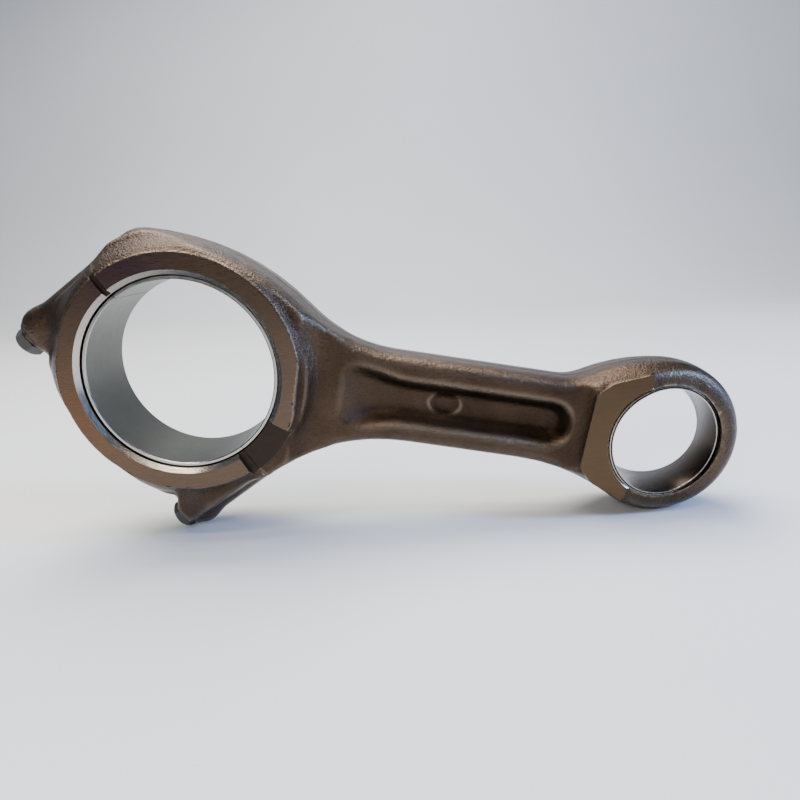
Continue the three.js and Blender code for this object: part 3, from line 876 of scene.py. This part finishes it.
def make_floor():
    """A pale floor that sweeps up behind the object."""
    bm = bmesh.new()
    wall = FLOOR_BACK + FLOOR_SWEEP
    angles = [math.radians(90 * step / SWEEP_STEPS) for step in range(1, SWEEP_STEPS + 1)]
    sweep = [
        (FLOOR_BACK + FLOOR_SWEEP * math.sin(a), FLOOR_SWEEP * (1 - math.cos(a))) for a in angles
    ]
    section = [(FLOOR_FRONT, 0), (FLOOR_BACK, 0)] + sweep + [(wall, WALL_TOP)]
    verts = [bm.verts.new((-FLOOR_HALF, y, z)) for y, z in section]
    edges = [bm.edges.new(pair) for pair in zip(verts, verts[1:])]
    grown = bmesh.ops.extrude_edge_only(bm, edges=edges)["geom"]
    moved = [item for item in grown if isinstance(item, bmesh.types.BMVert)]
    bmesh.ops.translate(bm, vec=(2 * FLOOR_HALF, 0, 0), verts=moved)
    bmesh.ops.recalc_face_normals(bm, faces=bm.faces)
    mesh = bpy.data.meshes.new("floor")
    bm.to_mesh(mesh)
    bm.free()
    for face in mesh.polygons:
        face.use_smooth = True
    floor = new_object("floor", mesh)
    material, tree, shader, place = new_material("pale_floor")
    cloud = noise(tree, place, 3, 4)
    pale = ramp(tree, cloud, (0.3, (0.66, 0.66, 0.655)), (0.7, (0.7, 0.7, 0.695)))
    tree.links.new(pale, shader.inputs["Base Color"])
    shader.inputs["Roughness"].default_value = 0.7
    mesh.materials.append(material)


def add_light(name, place, aim, size, power, colour):
    """A rectangular soft light; place and aim in metres."""
    data = bpy.data.lights.new(name, "AREA")
    data.shape = "RECTANGLE"
    data.size, data.size_y = size
    data.energy = power
    data.color = colour
    light = bpy.data.objects.new(name, data)
    light.location = place
    direction = Vector(aim) - Vector(place)
    light.rotation_euler = direction.to_track_quat("-Z", "Y").to_euler()
    bpy.context.scene.collection.objects.link(light)


def make_lights():
    """A broad light overhead, a warm one in front, a blue one at the right and a warm strip."""
    middle = (0, 0, 0.07)
    add_light("sky", (-0.25, 0.35, 1.3), middle, (1.3, 0.9), 46, (1, 0.985, 0.96))
    add_light("front", (-0.5, -1.1, 0.75), middle, (0.4, 0.25), 6, (1, 0.95, 0.88))
    add_light("blue_side", (1.1, -0.25, 0.55), (0.05, 0, 0.08), (0.2, 0.6), 22, (0.3, 0.5, 1))
    add_light("strip", (0, -0.45, 1.1), middle, (1.2, 0.07), 4.5, (1, 0.92, 0.8))
    world = bpy.data.worlds.new("studio")
    world.use_nodes = True
    world.node_tree.nodes["Background"].inputs["Color"].default_value = (0.8, 0.84, 0.9, 1)
    world.node_tree.nodes["Background"].inputs["Strength"].default_value = 0.16
    bpy.context.scene.world = world


CAMERA_PLACE = (101.1, 82.5, 318.2)   # in the rod's frame, in millimetres
CAMERA_AIM = (113.0, -2.3, 0)
CAMERA_ROLL = math.radians(-3.2)
CAMERA_LENS = 27.05                   # on a sensor 36 wide


def make_camera():
    """A camera close in front of the rod, above its shank."""
    data = bpy.data.cameras.new("camera")
    data.lens = CAMERA_LENS
    data.sensor_width = 36
    data.clip_start = 0.01
    camera = bpy.data.objects.new("camera", data)
    place = rod_point(*CAMERA_PLACE)
    look = (rod_point(*CAMERA_AIM) - place).to_track_quat("-Z", "Y").to_matrix().to_4x4()
    camera.matrix_world = Matrix.Translation(place) @ look @ Matrix.Rotation(CAMERA_ROLL, 4, "Z")
    bpy.context.scene.collection.objects.link(camera)
    bpy.context.scene.camera = camera


make_floor()
make_lights()
make_camera()
bpy.context.scene.view_settings.view_transform = "AgX"
